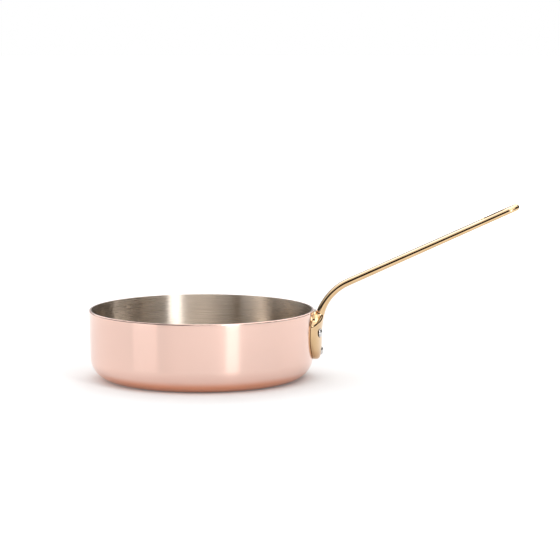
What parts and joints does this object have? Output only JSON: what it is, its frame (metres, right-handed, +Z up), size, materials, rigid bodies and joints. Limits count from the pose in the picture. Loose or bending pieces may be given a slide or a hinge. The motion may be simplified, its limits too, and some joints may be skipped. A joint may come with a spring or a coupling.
{
  "type": "saute pan",
  "caption": "Straight-sided copper saute pan with a bonded steel lining and a long riveted brass handle that ends in a hanging slot.",
  "frame": {"origin": "centre of the base, on the surface the pan stands on", "axes": "+Z up out of the pan, +X along the handle"},
  "size_m": [0.3835, 0.201, 0.1563],
  "materials": {
    "copper": "finely brushed copper",
    "lining_steel": "brushed stainless steel",
    "handle_brass": "polished cast brass",
    "rivet_steel": "polished stainless steel"
  },
  "bodies": {
    "root": {"copper_shell": "copper", "steel_lining": "lining_steel", "handle": "handle_brass", "rivet_upper_left": "rivet_steel", "rivet_upper_right": "rivet_steel", "rivet_lower": "rivet_steel"}
  },
  "joints": []
}
